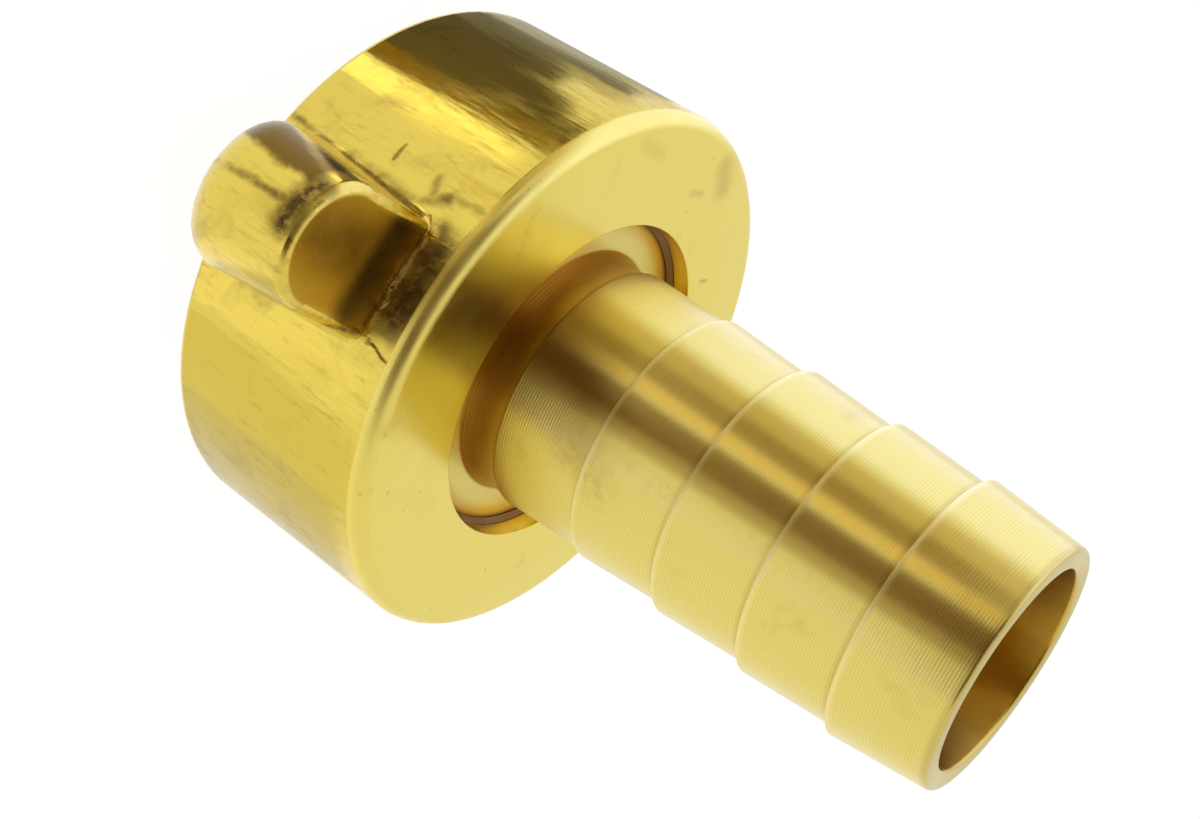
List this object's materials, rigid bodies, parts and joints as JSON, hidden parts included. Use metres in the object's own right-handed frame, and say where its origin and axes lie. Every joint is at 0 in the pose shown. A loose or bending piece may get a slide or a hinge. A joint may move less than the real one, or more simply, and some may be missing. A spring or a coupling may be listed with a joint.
{
  "type": "lugged hose union",
  "caption": "Barbed hose tail that swivels in a round forged nut with two hammer lugs, sealed by a flat washer on its flange.",
  "frame": {"origin": "centre of the nut's open face, which the part stands on", "axes": "+Z along the fitting's axis, from the nut's open face to the tail's mouth; +X through one lug"},
  "size_m": [0.062, 0.041, 0.0539],
  "materials": {
    "forged_brass": "tumbled forging with a satin turned back, faintly stained",
    "turned_brass": "fine turned lines",
    "washer_rubber": "matt black"
  },
  "bodies": {
    "nut": {"lugged_nut": "forged_brass", "sealing_washer": "washer_rubber"},
    "tail": {"hose_tail": "turned_brass"}
  },
  "joints": [
    {"name": "tail_swivel", "type": "hinge", "parent": "nut", "child": "tail", "pos_m": [0, 0, 0], "axis": [0, 0, 1], "continuous": true}
  ]
}
